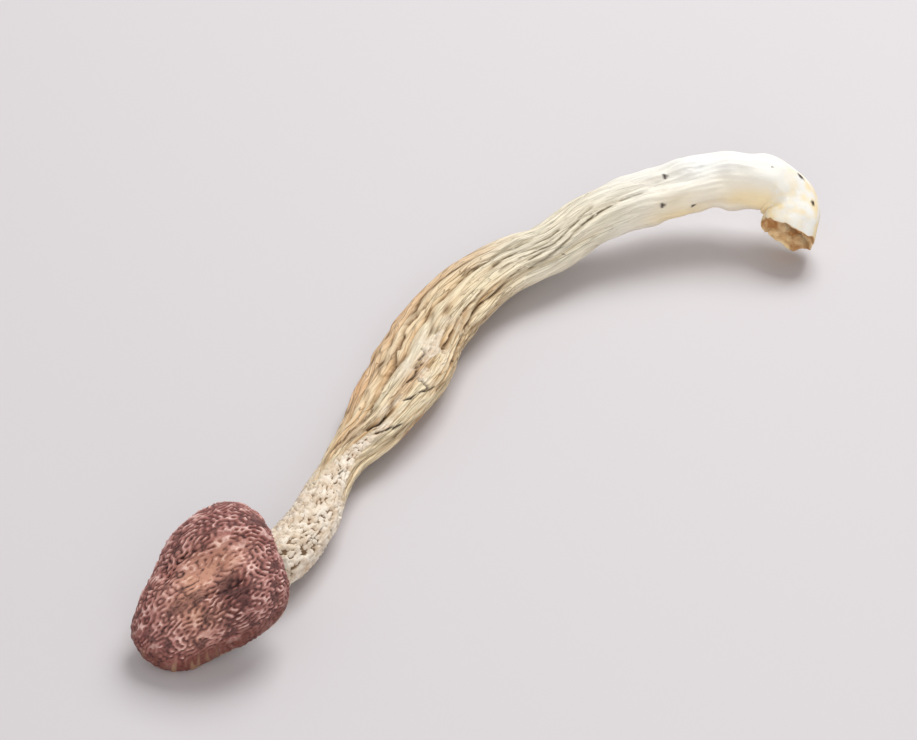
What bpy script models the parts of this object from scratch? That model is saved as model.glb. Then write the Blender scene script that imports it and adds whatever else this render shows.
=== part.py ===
"""A dried tea tree mushroom: a wrinkled cap and a long furrowed stem, lying where they came to rest.

Lengths are in millimetres until the meshes are made. The mushroom lies along X, with its cap at -X
and its hooked foot at +X, on the plane Z = 0.
"""

import math
from typing import NamedTuple

import bmesh
import bpy
import numpy as np
from mathutils import Matrix, Vector, noise

MM = 0.001
GAP = 0.3

# Cap: the frame of its rim plane, and its main sizes
CAP_CENTRE = Vector((-55.6, -9.0, 6.05))
CAP_AXIS = Vector((-0.48, -0.34, 0.81)).normalized()
CAP_RIGHT_HINT = Vector((0.69, -0.72, 0.0))
CAP_RADIUS = 9.5
SEAT_HEIGHT = 3.0

# Cap outline: how far it leaves a circle, as waves of so many turns, a height and a peak angle
CAP_WAVES = [
    (2, 1.60, 103.0),
    (3, 0.95, -67.0),
    (4, 0.30, -122.0),
    (5, 0.25, 0.0),
]

# Cap profile from the middle of the top, over the lip, to the seat of the stem
CAP_PROFILE = [
    (0.00, 7.2),
    (0.19, 7.4),
    (0.38, 7.3),
    (0.56, 6.8),
    (0.72, 5.8),
    (0.86, 4.3),
    (0.96, 2.5),
    (1.00, 0.8),
    (0.96, -0.3),
    (0.87, -0.1),
    (0.78, 1.2),
    (0.58, 2.5),
    (0.40, SEAT_HEIGHT),
    (0.00, SEAT_HEIGHT),
]
OUTLINE_EASE = 1.5
PROFILE_SHOULDER = 2
PROFILE_SHOULDER_END = 5
PROFILE_LIP = 8
LIP_FADE = 1.0
PROFILE_GILLS_START = 9
PROFILE_GILLS_END = 12
CAP_ROWS = 32
CAP_COLUMNS = 96
GILLS = CAP_COLUMNS // 4
GILL_HEIGHT = 0.7
GILL_FADE = 1.5
SKIN_STEP = 0.05

# Cap relief: the dish in its top, its crease and folds, and its wrinkles
DISH_PLACE = Vector((-0.5, 0.7))
DISH_REACH = Vector((5.0, 2.7))
DISH_TILT = math.radians(33.0)
DISH_DEPTH = 1.5
WRINKLE_HEIGHT = 0.45
WRINKLE_SPACING = 2.0
WRINKLE_SHARPNESS = 2.0
PLAIN_MIDDLE = (0.5, 3.5)
SAG_HEIGHT = 0.5
SAG_SPACING = 6.0


class Crease(NamedTuple):
    """A valley between two points of the cap's rim plane."""

    start: tuple
    end: tuple
    depth: float
    width: float


CREASES = [
    Crease((-0.2, -2.3), (3.5, -0.8), 0.7, 0.9),
    Crease((-5.6, 0.3), (-2.5, 3.5), 0.7, 0.9),
    Crease((3.6, 3.8), (6.2, 0.0), 0.4, 1.0),
    Crease((-6.4, -5.6), (-3.4, -2.6), 0.4, 1.0),
]


class Station(NamedTuple):
    """A cross-section of the stem: where its middle is, and its size, flatness and turn."""

    x: float
    y: float
    z: float
    width: float
    thickness: float
    twist: float


STEM_STATIONS = [
    Station(-51.3, -7.9, 4.2, 6.8, 6.4, 4),
    Station(-43.1, -8.7, 3.8, 7.0, 6.4, 8),
    Station(-34.9, -6.7, 3.5, 6.8, 6.0, 12),
    Station(-23.0, -1.1, 3.0, 5.4, 5.2, 18),
    Station(-14.0, 1.0, 3.2, 9.0, 5.8, 22),
    Station(-3.0, 5.0, 3.1, 12.4, 6.6, 26),
    Station(7.7, 9.5, 3.1, 11.8, 6.8, 30),
    Station(17.3, 11.9, 3.3, 11.6, 6.8, 34),
    Station(25.1, 11.6, 4.2, 10.4, 6.8, 38),
    Station(31.6, 9.2, 5.2, 8.4, 6.8, 42),
    Station(38.9, 8.4, 6.4, 8.6, 7.2, 46),
    Station(44.6, 6.6, 7.4, 8.2, 7.4, 50),
    Station(50.0, 4.3, 8.0, 8.2, 7.4, 54),
    Station(54.6, 1.9, 8.6, 8.6, 7.6, 57),
    Station(58.7, -0.9, 8.9, 8.5, 7.8, 59),
]
NECK_WIDTH = 6.4
NECK_DROP = 2.5

# Hook of the foot: an arc that goes on from the last station to the cut
HOOK_START = Vector((61.8, -5.2, 8.9))
HOOK_AHEAD = Vector((0.66, -0.74, -0.11)).normalized()
HOOK_END_AHEAD = Vector((-0.82, -0.23, -0.53)).normalized()
HOOK_RADIUS = 4.8
HOOK_STEPS = 4
HOOK_WIDTH = 8.2
HOOK_THICKNESS = 7.8
HOOK_TWIST = 61.0
STEM_ROWS = 64
STEM_COLUMNS = 30
STEM_SAMPLES = 400
FOOT_CROWDING = 1.25
NECK_END_ROWS = 2
FOOT_END_ROWS = 3
FOOT_RECESS = 0.7
FOOT_CUT_SHARE = 0.8
FOOT_RAGGEDNESS = 0.5
RAGGED_SPACING = 1.7
FOOT_SLANT = 0.2
FOOT_OVERHANG = 0.9
LUMP_HEIGHT = 0.25
LUMP_SPACING = 2.0
LUMPS_ALONG = 22.0
CRUMB_HEIGHT = 0.22
CRUMB_SPACING = 0.9
CRUMBS_ALONG = 75.0
CRUMBS_START = (0.05, 0.12)
CRUMBS_END = (0.42, 0.27)
SIGHT = 0.5


class Furrow(NamedTuple):
    """A valley along the stem: its angle, its depth, and where along the stem it runs."""

    turn: float
    depth: float
    start: float
    end: float


FURROW_WIDTH = 13.0
FURROW_FADE = 0.12
FURROWS = [
    Furrow(60, 1.0, 0.30, 0.74),
    Furrow(168, 0.8, 0.28, 0.66),
    Furrow(108, 0.5, 0.08, 0.50),
    Furrow(132, 0.8, 0.46, 0.80),
    Furrow(84, 0.5, 0.42, 0.90),
    Furrow(24, 0.7, 0.18, 0.86),
    Furrow(204, 0.6, 0.10, 0.92),
    Furrow(240, 0.9, 0.16, 0.80),
    Furrow(276, 0.6, 0.30, 0.90),
    Furrow(312, 0.9, 0.12, 0.84),
    Furrow(348, 0.5, 0.36, 0.94),
]

CAP_COLOUR = (0.17, 0.075, 0.055, 1.0)
CAP_ROUGHNESS = 0.75
STEM_COLOUR = (0.62, 0.47, 0.29, 1.0)
STEM_ROUGHNESS = 0.85


def clear_scene():
    """Remove every object of the scene that is open."""
    for thing in list(bpy.data.objects):
        bpy.data.objects.remove(thing, do_unlink=True)


def smooth_step(low, high, value):
    """Rise smoothly from 0 at low to 1 at high."""
    part = min(max((value - low) / (high - low), 0.0), 1.0)
    return part * part * (3.0 - 2.0 * part)


def along_curve(values, place):
    """Read a smooth curve that passes through evenly numbered values."""
    last = len(values) - 1
    start = min(max(int(place), 0), last - 1)
    part = place - start
    before = values[max(start - 1, 0)]
    here = values[start]
    there = values[start + 1]
    after = values[min(start + 2, last)]
    slope = there - before
    bend = 2.0 * before - 5.0 * here + 4.0 * there - after
    twist = 3.0 * (here - there) + after - before
    return here + 0.5 * part * (slope + part * (bend + part * twist))


def shape_ball(columns, rows, place_point):
    """Move every point of a ball, known by its turn and its row, to where place_point says."""
    shape = bmesh.new()
    bmesh.ops.create_uvsphere(shape, u_segments=columns, v_segments=rows, radius=1.0)
    for point in shape.verts:
        turn = math.atan2(point.co.y, point.co.x)
        row = round(math.acos(min(max(point.co.z, -1.0), 1.0)) * rows / math.pi)
        point.co = place_point(turn, row)
        point.co.z = max(point.co.z, 0.0)
    bmesh.ops.scale(shape, vec=(MM, MM, MM), verts=shape.verts)
    bmesh.ops.triangulate(shape, faces=shape.faces)
    bmesh.ops.recalc_face_normals(shape, faces=shape.faces)
    return shape


def add_piece(name, shape, colour, roughness):
    """Add a shape to the scene as a named, smooth object with a plain finish of its own."""
    mesh = bpy.data.meshes.new(name)
    shape.to_mesh(mesh)
    shape.free()
    mesh.shade_smooth()
    piece = bpy.data.objects.new(name, mesh)
    bpy.context.scene.collection.objects.link(piece)
    finish = bpy.data.materials.new(name + " skin")
    finish.use_nodes = True
    shader = finish.node_tree.nodes["Principled BSDF"]
    shader.inputs["Base Color"].default_value = colour
    shader.inputs["Roughness"].default_value = roughness
    shader.inputs["Metallic"].default_value = 0.0
    mesh.materials.append(finish)


def cap_frame():
    """Give the matrix that carries the cap from its rim plane to where it lies."""
    right = (CAP_RIGHT_HINT - CAP_AXIS * CAP_RIGHT_HINT.dot(CAP_AXIS)).normalized()
    ahead = CAP_AXIS.cross(right)
    turn = Matrix((right, ahead, CAP_AXIS)).transposed()
    return Matrix.Translation(CAP_CENTRE) @ turn.to_4x4()


def cap_outline(turn):
    """Give the reach of the rim in a direction, in the rim plane."""
    reach = CAP_RADIUS
    for count, height, peak in CAP_WAVES:
        reach += height * math.cos(count * turn - math.radians(peak))
    return reach


def cap_skin(turn, place):
    """Give a point of the cap's smooth form, in its rim plane's frame."""
    share, height = along_curve(np.array(CAP_PROFILE), place)
    reach = CAP_RADIUS + (cap_outline(turn) - CAP_RADIUS) * max(share, 0.0) ** OUTLINE_EASE
    return Vector((math.cos(turn) * share * reach, math.sin(turn) * share * reach, height))


def crease_depth(crease, x, y):
    """Give how deep a crease is at a point of the rim plane."""
    start = Vector(crease.start)
    run = Vector(crease.end) - start
    share = min(max((Vector((x, y)) - start).dot(run) / run.length_squared, 0.0), 1.0)
    miss = (Vector((x, y)) - start - run * share).length
    return crease.depth * math.exp(-((miss / crease.width) ** 2))


def cap_relief(point, share):
    """Give how far the skin of the top stands out from the cap's smooth form."""
    away = point.xy - DISH_PLACE
    along = (away.x * math.cos(DISH_TILT) + away.y * math.sin(DISH_TILT)) / DISH_REACH.x
    aside = (away.y * math.cos(DISH_TILT) - away.x * math.sin(DISH_TILT)) / DISH_REACH.y
    relief = -DISH_DEPTH * math.exp(-(along * along + aside * aside))
    for crease in CREASES:
        relief -= crease_depth(crease, point.x, point.y)
    ripple = noise.noise(point / WRINKLE_SPACING)
    wrinkle = WRINKLE_HEIGHT * (0.5 - WRINKLE_SHARPNESS * abs(ripple))
    sag = SAG_HEIGHT * noise.noise(point / SAG_SPACING)
    plain_middle = smooth_step(*PLAIN_MIDDLE, point.xy.length)
    return relief + share * (plain_middle * wrinkle + sag)


def cap_point(turn, row):
    """Place one point of the cap."""
    last = len(CAP_PROFILE) - 1
    place = last * row / CAP_ROWS
    point = cap_skin(turn, place)
    if place < PROFILE_LIP:
        across = cap_skin(turn + SKIN_STEP, place) - cap_skin(turn - SKIN_STEP, place)
        down = cap_skin(turn, place + SKIN_STEP) - cap_skin(turn, max(place - SKIN_STEP, 0.0))
        outward = Vector((0.0, 0.0, 1.0))
        if place > PROFILE_SHOULDER:
            lean = smooth_step(PROFILE_SHOULDER, PROFILE_SHOULDER_END, place)
            outward = outward.lerp(down.cross(across).normalized(), lean)
        share = smooth_step(PROFILE_LIP, PROFILE_LIP - LIP_FADE, place)
        point += outward * cap_relief(point, share)
    if PROFILE_GILLS_START < place < PROFILE_GILLS_END:
        fade = smooth_step(PROFILE_GILLS_END, PROFILE_GILLS_END - GILL_FADE, place)
        point.z -= GILL_HEIGHT * fade * 0.5 * (1.0 + math.cos(turn * GILLS))
    return cap_frame() @ point


class Ring(NamedTuple):
    """A ring of the stem: its middle, its own directions, and its size."""

    middle: Vector
    ahead: Vector
    side: Vector
    above: Vector
    width: float
    thickness: float
    twist: float
    share: float


def neck_stations():
    """Give the stations where the stem leaves its seat under the cap, along the cap's axis."""
    seat = CAP_CENTRE + CAP_AXIS * (SEAT_HEIGHT - GAP)
    below = seat - CAP_AXIS * NECK_DROP
    return [Station(*middle, NECK_WIDTH, NECK_WIDTH, 0.0) for middle in (seat, below)]


def hook_stations():
    """Give the stations of the hook, from its start to the cut."""
    swing = HOOK_AHEAD.angle(HOOK_END_AHEAD)
    inward = (HOOK_END_AHEAD - HOOK_AHEAD * HOOK_END_AHEAD.dot(HOOK_AHEAD)).normalized()
    stations = []
    for step in range(HOOK_STEPS + 1):
        angle = swing * step / HOOK_STEPS
        along = HOOK_AHEAD * math.sin(angle) + inward * (1.0 - math.cos(angle))
        middle = HOOK_START + HOOK_RADIUS * along
        stations.append(Station(*middle, HOOK_WIDTH, HOOK_THICKNESS, HOOK_TWIST))
    return stations


def stem_rings(count):
    """Walk along the stem and give its rings, closer together toward the foot."""
    stations = np.array(neck_stations() + STEM_STATIONS + hook_stations(), dtype=float)
    places = np.linspace(0.0, len(stations) - 1.0, STEM_SAMPLES)
    samples = np.array([along_curve(stations, place) for place in places])
    steps = np.linalg.norm(np.diff(samples[:, :3], axis=0), axis=1)
    walked = np.concatenate([[0.0], np.cumsum(steps)])
    rings = []
    side = Vector((0.0, 0.0, 1.0)).cross(-CAP_AXIS).normalized()
    for number in range(count):
        share = 1.0 - (1.0 - number / (count - 1)) ** FOOT_CROWDING
        along = share * walked[-1]
        values = [np.interp(along, walked, column) for column in samples.T]
        near = [np.interp(along - SIGHT, walked, column) for column in samples.T[:3]]
        far = [np.interp(along + SIGHT, walked, column) for column in samples.T[:3]]
        ahead = (Vector(far) - Vector(near)).normalized() if number else -CAP_AXIS
        side = (side - ahead * side.dot(ahead)).normalized()
        above = ahead.cross(side)
        twist = math.radians(values[5])
        rings.append(Ring(Vector(values[:3]), ahead, side, above, values[3], values[4], twist, share))
    return rings


def furrow_depth(turn, share):
    """Give how deep the furrows are at an angle of a ring."""
    depth = 0.0
    for furrow in FURROWS:
        miss = (math.degrees(turn) - furrow.turn + 180.0) % 360.0 - 180.0
        fade = smooth_step(furrow.start, furrow.start + FURROW_FADE, share)
        fade *= smooth_step(furrow.end, furrow.end - FURROW_FADE, share)
        depth += furrow.depth * fade * math.exp(-((miss / FURROW_WIDTH) ** 2))
    return depth


def stem_skin(ring, turn, size):
    """Give a point on a ring of the stem, at a share of the ring's own size."""
    angle = turn + ring.twist
    across = math.cos(angle) * 0.5 * ring.width
    upward = math.sin(angle) * 0.5 * ring.thickness
    reach = math.hypot(across, upward)
    around = Vector((across, upward, 0.0))
    lump = noise.noise(around / LUMP_SPACING + Vector((0.0, 0.0, ring.share * LUMPS_ALONG)))
    crumb = noise.noise(around / CRUMB_SPACING + Vector((0.0, 0.0, ring.share * CRUMBS_ALONG)))
    crumbs = smooth_step(*CRUMBS_START, ring.share) * smooth_step(*CRUMBS_END, ring.share)
    change = LUMP_HEIGHT * lump + CRUMB_HEIGHT * crumbs * crumb - furrow_depth(turn, ring.share)
    scale = size * (reach + change) / reach
    return ring.middle + ring.side * across * scale + ring.above * upward * scale


def cut_point(ring, turn, size, recess):
    """Give a point of the foot's cut face, which slants and is ragged."""
    point = stem_skin(ring, turn, size)
    outward = (HOOK_AHEAD - ring.ahead * HOOK_AHEAD.dot(ring.ahead)).normalized()
    slant = FOOT_SLANT * (point - ring.middle).dot(outward)
    ragged = FOOT_RAGGEDNESS * noise.noise(point / RAGGED_SPACING)
    return point + ring.ahead * (slant + ragged - recess)


def stem_maker():
    """Give the function that places one point of the stem."""
    length_rows = STEM_ROWS - NECK_END_ROWS - FOOT_END_ROWS
    rings = stem_rings(length_rows + 1)

    def place_point(turn, row):
        along = row - NECK_END_ROWS
        if along < 0:
            return stem_skin(rings[0], turn, row / NECK_END_ROWS)
        if along < length_rows:
            return stem_skin(rings[along], turn, 1.0)
        if along == length_rows:
            return cut_point(rings[-1], turn, 1.0, -FOOT_OVERHANG)
        size = FOOT_CUT_SHARE * (STEM_ROWS - row) / (FOOT_END_ROWS - 1)
        return cut_point(rings[-1], turn, size, FOOT_RECESS - FOOT_OVERHANG)

    return place_point


def build():
    """Build the two pieces of the mushroom."""
    clear_scene()
    add_piece("cap", shape_ball(CAP_COLUMNS, CAP_ROWS, cap_point), CAP_COLOUR, CAP_ROUGHNESS)
    add_piece("stem", shape_ball(STEM_COLUMNS, STEM_ROWS, stem_maker()), STEM_COLOUR, STEM_ROUGHNESS)


build()
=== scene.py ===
"""Looks of a dried tea tree mushroom that lies on its side on a pale floor.

Lengths are in millimetres until a mesh is finished. The frame is the CAD model's own: the mushroom
lies along X, with its cap at -X and its hooked foot at +X, and the floor is the plane Z = 0.
"""

import logging
import math
from dataclasses import dataclass, field
from enum import Enum
from typing import NamedTuple

import bmesh
import bpy
import numpy as np
from mathutils import Matrix, Vector, noise


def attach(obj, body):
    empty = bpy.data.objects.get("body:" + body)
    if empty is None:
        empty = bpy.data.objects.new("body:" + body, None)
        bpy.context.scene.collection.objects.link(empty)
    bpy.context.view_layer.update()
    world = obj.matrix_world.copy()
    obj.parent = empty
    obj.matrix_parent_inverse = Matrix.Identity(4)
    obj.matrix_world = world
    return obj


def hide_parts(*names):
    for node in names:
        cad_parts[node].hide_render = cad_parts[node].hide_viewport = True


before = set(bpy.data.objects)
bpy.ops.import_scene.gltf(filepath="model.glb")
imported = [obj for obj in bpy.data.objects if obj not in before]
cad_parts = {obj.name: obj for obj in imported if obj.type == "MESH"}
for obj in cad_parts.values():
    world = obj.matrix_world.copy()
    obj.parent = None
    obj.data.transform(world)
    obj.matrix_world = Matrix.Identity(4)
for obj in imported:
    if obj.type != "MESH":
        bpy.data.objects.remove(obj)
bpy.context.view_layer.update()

MM = 0.001
GAP = 0.3
FULL_TURN = 360.0
BODY = "root"
LOG = logging.getLogger("mushroom")

Array = np.ndarray
Socket = bpy.types.NodeSocket
Colour = tuple[float, float, float, float]


def smooth_step(low: Array | float, high: Array | float, value: Array) -> Array:
    """Rise smoothly from 0 at low to 1 at high, or fall where high is the lower one."""
    part = np.clip((value - low) / (high - low), 0.0, 1.0)
    return part * part * (3.0 - 2.0 * part)


def bell(miss: Array, width: float) -> Array:
    """Give 1 where miss is 0, and fall off to nothing beyond about twice the width."""
    return np.exp(-((miss / width) ** 2))


def turn_gap(degrees: Array, centre: Array | float) -> Array:
    """Give the signed angle from centre to each of the angles, in degrees."""
    return (degrees - centre + FULL_TURN / 2) % FULL_TURN - FULL_TURN / 2


def running_sum(steps: Array) -> Array:
    """Add up steps, from 0 before the first one."""
    return np.concatenate([[0.0], np.cumsum(steps)])


def read_curve(values: Array, places: Array) -> Array:
    """Read a smooth curve that passes through evenly numbered values.

    Args:
        values: One row for each numbered value.
        places: Where to read, as fractional numbers of rows.

    Returns:
        One row for each place.
    """
    last = len(values) - 1
    start = np.clip(places.astype(int), 0, last - 1)
    part = (places - start)[:, None]
    before = values[np.maximum(start - 1, 0)]
    here = values[start]
    there = values[start + 1]
    after = values[np.minimum(start + 2, last)]
    bend = 2.0 * before - 5.0 * here + 4.0 * there - after
    twist = 3.0 * (here - there) + after - before
    return here + 0.5 * part * (there - before + part * (bend + part * twist))


def noise_at(points: Array, spacing: float, seed: float = 0.0) -> Array:
    """Read smooth noise between about -1 and 1, whose lumps are about one spacing apart."""
    moved = points / spacing + seed
    return np.array([noise.noise(Vector(place)) for place in moved.tolist()])


def cells_at(points: Array, spacing: float) -> tuple[Array, Array]:
    """Read a pattern of irregular cells.

    Args:
        points: Places, one row each.
        spacing: Rough size of a cell.

    Returns:
        How far each point is from its cell's border, 0 at the border and near 1 in the middle, and
        a number of the cell's own between 0 and 1.
    """
    borders = []
    own = []
    for place in (points / spacing).tolist():
        distances, centres = noise.voronoi(Vector(place))
        borders.append(distances[1] - distances[0])
        own.append(0.5 + 0.5 * noise.noise(centres[0] * 7.3))
    return np.clip(np.array(borders) * 1.6, 0.0, 1.0), np.array(own)


class Stroke(NamedTuple):
    """A line drawn on a skin, in that skin's own two coordinates, with its depth and half width."""

    points: tuple
    depth: float
    width: float


def stroke_mark(first: Array, second: Array, stroke: Stroke) -> Array:
    """Give how strongly a stroke marks each place.

    Args:
        first: First coordinate of the places, in millimetres.
        second: Second coordinate of the places, in millimetres.
        stroke: The line, whose points are pairs of the same coordinates.

    Returns:
        1 on the line, and less beside it.
    """
    places = np.stack([first, second], axis=1)
    nearest = np.full(len(places), np.inf)
    for start, end in zip(stroke.points, stroke.points[1:]):
        run = np.subtract(end, start)
        part = np.clip((places - start) @ run / (run @ run), 0.0, 1.0)
        nearest = np.minimum(nearest, np.linalg.norm(places - start - part[:, None] * run, axis=1))
    return bell(nearest, stroke.width)


@dataclass
class WrinkleSheet:
    """A flat sheet on which wrinkles grow until they fill it, as skin does when it dries.

    Args:
        width: Size in the first direction. The pattern repeats beyond it.
        height: Size in the second direction.
        columns: Cells in the first direction.
        rows: Cells in the second direction.
        spacing: Distance from one wrinkle to the next.
        stretch: How many times longer they are drawn out in the second direction.
        lean: How much wider the ridges are than the valleys.
        roughness: How much uneven skin breaks them up.
        seed: Number that picks one pattern.
        steps: How long they grow.
    """

    width: float
    height: float
    columns: int
    rows: int
    spacing: float
    stretch: float
    lean: float
    roughness: float
    seed: int = 5
    steps: int = 110
    heights: Array = field(init=False)

    def __post_init__(self) -> None:
        """Grow the wrinkles at once, to heights from 0 in the valleys to 1 on the ridges."""
        chance = np.random.default_rng(self.seed)
        fineness = 2.0 * math.pi * np.fft.fftfreq(self.columns, self.width / self.columns)
        length = 2.0 * math.pi * np.fft.rfftfreq(self.rows, self.height / self.rows)
        squared = fineness[:, None] ** 2 + (length[None, :] * self.stretch) ** 2
        share = squared * (self.spacing / (2.0 * math.pi)) ** 2
        stride = 0.5
        growth = 1.0 / (1.0 - stride * (0.7 - (1.0 - share) ** 2))
        skin = 0.3 * chance.standard_normal((self.columns, self.rows))
        uneven = np.fft.rfft2(chance.standard_normal(skin.shape)) * np.exp(-squared * 0.06)
        uneven = np.fft.irfft2(uneven, s=skin.shape)
        push = self.roughness * uneven / uneven.std()
        for _ in range(self.steps):
            change = self.lean * skin * skin - skin**3 + push
            skin = np.fft.irfft2(np.fft.rfft2(skin + stride * change) * growth, s=skin.shape)
        self.heights = 0.5 + 0.5 * np.tanh(1.3 * skin)

    def read(self, across: Array, along: Array) -> Array:
        """Read the height of the skin at places on the sheet.

        Args:
            across: Places in the first direction.
            along: Places in the second direction.

        Returns:
            Heights from 0 to 1.
        """
        column = (across / self.width % 1.0) * self.columns
        row = (along / self.height % 1.0) * self.rows
        left = column.astype(int) % self.columns
        low = row.astype(int) % self.rows
        right = (left + 1) % self.columns
        high = (low + 1) % self.rows
        part = column - np.floor(column)
        rise = row - np.floor(row)
        near = self.heights[left, low] * (1.0 - part) + self.heights[right, low] * part
        far = self.heights[left, high] * (1.0 - part) + self.heights[right, high] * part
        return near * (1.0 - rise) + far * rise


def frame_at(place: Vector, above: Vector, hint: Vector) -> Matrix:
    """Give a frame of three square directions.

    Args:
        place: Its origin.
        above: Its Z direction, one unit long.
        hint: A direction near its X direction.

    Returns:
        The matrix from that frame to the world.
    """
    right = (hint - above * hint.dot(above)).normalized()
    turn = Matrix((right, above.cross(right), above)).transposed()
    return Matrix.Translation(place) @ turn.to_4x4()


def shape_points(shape: bmesh.types.BMesh) -> Array:
    """Give the places of a shape's points, one row each."""
    return np.array([point.co[:] for point in shape.verts])


def finish_shape(
    name: str, shape: bmesh.types.BMesh, points: Array, marks: dict[str, Array]
) -> bpy.types.Object:
    """Place a shape's points and make it an object at the origin.

    Args:
        name: Name of the piece.
        shape: The closed shape. It is freed.
        points: Place of each of its points, in millimetres.
        marks: Values over the surface, by name, one for each point.

    Returns:
        The new object.
    """
    points[:, 2] = np.maximum(points[:, 2], 0.0)
    for point, place in zip(shape.verts, (points * MM).tolist()):
        point.co = place
    bmesh.ops.recalc_face_normals(shape, faces=shape.faces)
    mesh = bpy.data.meshes.new(name)
    shape.to_mesh(mesh)
    shape.free()
    mesh.shade_smooth()
    for mark, values in marks.items():
        kind = "FLOAT_VECTOR" if values.ndim == 2 else "FLOAT"
        layer = mesh.attributes.new(mark, kind, "POINT")
        layer.data.foreach_set("vector" if values.ndim == 2 else "value", values.ravel())
    piece = bpy.data.objects.new(name, mesh)
    bpy.context.scene.collection.objects.link(piece)
    return piece


class Effect(Enum):
    """The effects that finishes share, each a shader node group."""

    VALLEYS = "shaded valleys"
    MOTTLE = "mottled colour"
    SPECKS = "dark specks"
    GRAIN = "fine grain"
    THREADS = "thin grooves"


@dataclass(frozen=True)
class NodeBoard:
    """A node tree and the shared effects, with short ways to add nodes and join them."""

    tree: bpy.types.NodeTree
    groups: dict = field(default_factory=dict)

    def feed(self, socket: Socket, value: object) -> None:
        """Join a socket to another one, or set it to a fixed value.

        Args:
            socket: The socket that is fed.
            value: Another socket, or a number or colour.
        """
        if isinstance(value, Socket):
            self.tree.links.new(value, socket)
        else:
            socket.default_value = value

    def add(self, kind: str, inputs: dict, **settings: object) -> bpy.types.Node:
        """Add a node.

        Args:
            kind: Type of the node.
            inputs: What goes into its sockets, by their name or number.
            settings: Its own settings.

        Returns:
            The node.
        """
        node = self.tree.nodes.new(kind)
        for name, value in settings.items():
            setattr(node, name, value)
        for place, value in inputs.items():
            self.feed(node.inputs[place], value)
        return node

    def effect(self, effect: Effect, **inputs: object) -> Socket:
        """Place a shared effect, and give its result."""
        return self.add("ShaderNodeGroup", inputs, node_tree=self.groups[effect]).outputs[0]

    def mottle(self, place: Socket, scale: float, dark: Colour, light: Colour) -> Socket:
        """Wander between a dark and a light colour."""
        return self.effect(Effect.MOTTLE, Place=place, Scale=scale, Dark=dark, Light=light)

    def valleys(self, colour: object, valley: object, height: Socket, reach: object) -> Socket:
        """Darken a colour where the skin is lower than its reach, as painted shade in the low places."""
        return self.effect(Effect.VALLEYS, Colour=colour, Valley=valley, Height=height, Reach=reach)

    def mark(self, name: str) -> Socket:
        """Read one of the mesh's own marks as a number."""
        return self.add("ShaderNodeAttribute", {}, attribute_name=name).outputs["Fac"]

    def direction(self, name: str) -> Socket:
        """Read one of the mesh's own marks as a place."""
        return self.add("ShaderNodeAttribute", {}, attribute_name=name).outputs["Vector"]

    def place(self) -> Socket:
        """Read the place on the object, in metres."""
        return self.add("ShaderNodeTexCoord", {}).outputs["Object"]

    def lay(self, under: object, over: object, share: object) -> Socket:
        """Lay one colour on another, by a share from 0 to 1."""
        return self.add("ShaderNodeMix", {0: share, 6: under, 7: over}, data_type="RGBA").outputs[2]

    def sum_up(self, kind: str, first: object, second: object = 0.0) -> Socket:
        """Work out one number from two, by the named kind of sum."""
        return self.add("ShaderNodeMath", {0: first, 1: second}, operation=kind).outputs[0]

    def spread(self, value: Socket, low: float, high: float, to: tuple = (0.0, 1.0)) -> Socket:
        """Carry a number from the range low to high to another range, and hold it there."""
        inputs = {0: value, 1: low, 2: high, 3: to[0], 4: to[1]}
        return self.add("ShaderNodeMapRange", inputs).outputs[0]

    def noise(self, place: Socket, scale: object, detail: float = 3.0, warp: float = 0.0) -> Socket:
        """Read noise from 0 to 1, with so many finer layers and so much distortion."""
        inputs = {"Vector": place, "Scale": scale, "Detail": detail, "Distortion": warp}
        return self.add("ShaderNodeTexNoise", inputs).outputs[0]

    def shade(self, colour: Socket, roughness: Socket, height: Socket, bump: tuple) -> None:
        """Feed the material's shader.

        Args:
            colour: Its colour.
            roughness: Its roughness.
            height: The finest relief.
            bump: How high that is, in metres, and how strongly it shows.
        """
        sockets = self.tree.nodes["Principled BSDF"].inputs
        inputs = {"Height": height, "Distance": bump[0], "Strength": bump[1]}
        self.feed(sockets["Base Color"], colour)
        self.feed(sockets["Roughness"], roughness)
        self.feed(sockets["Normal"], self.add("ShaderNodeBump", inputs).outputs[0])


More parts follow.
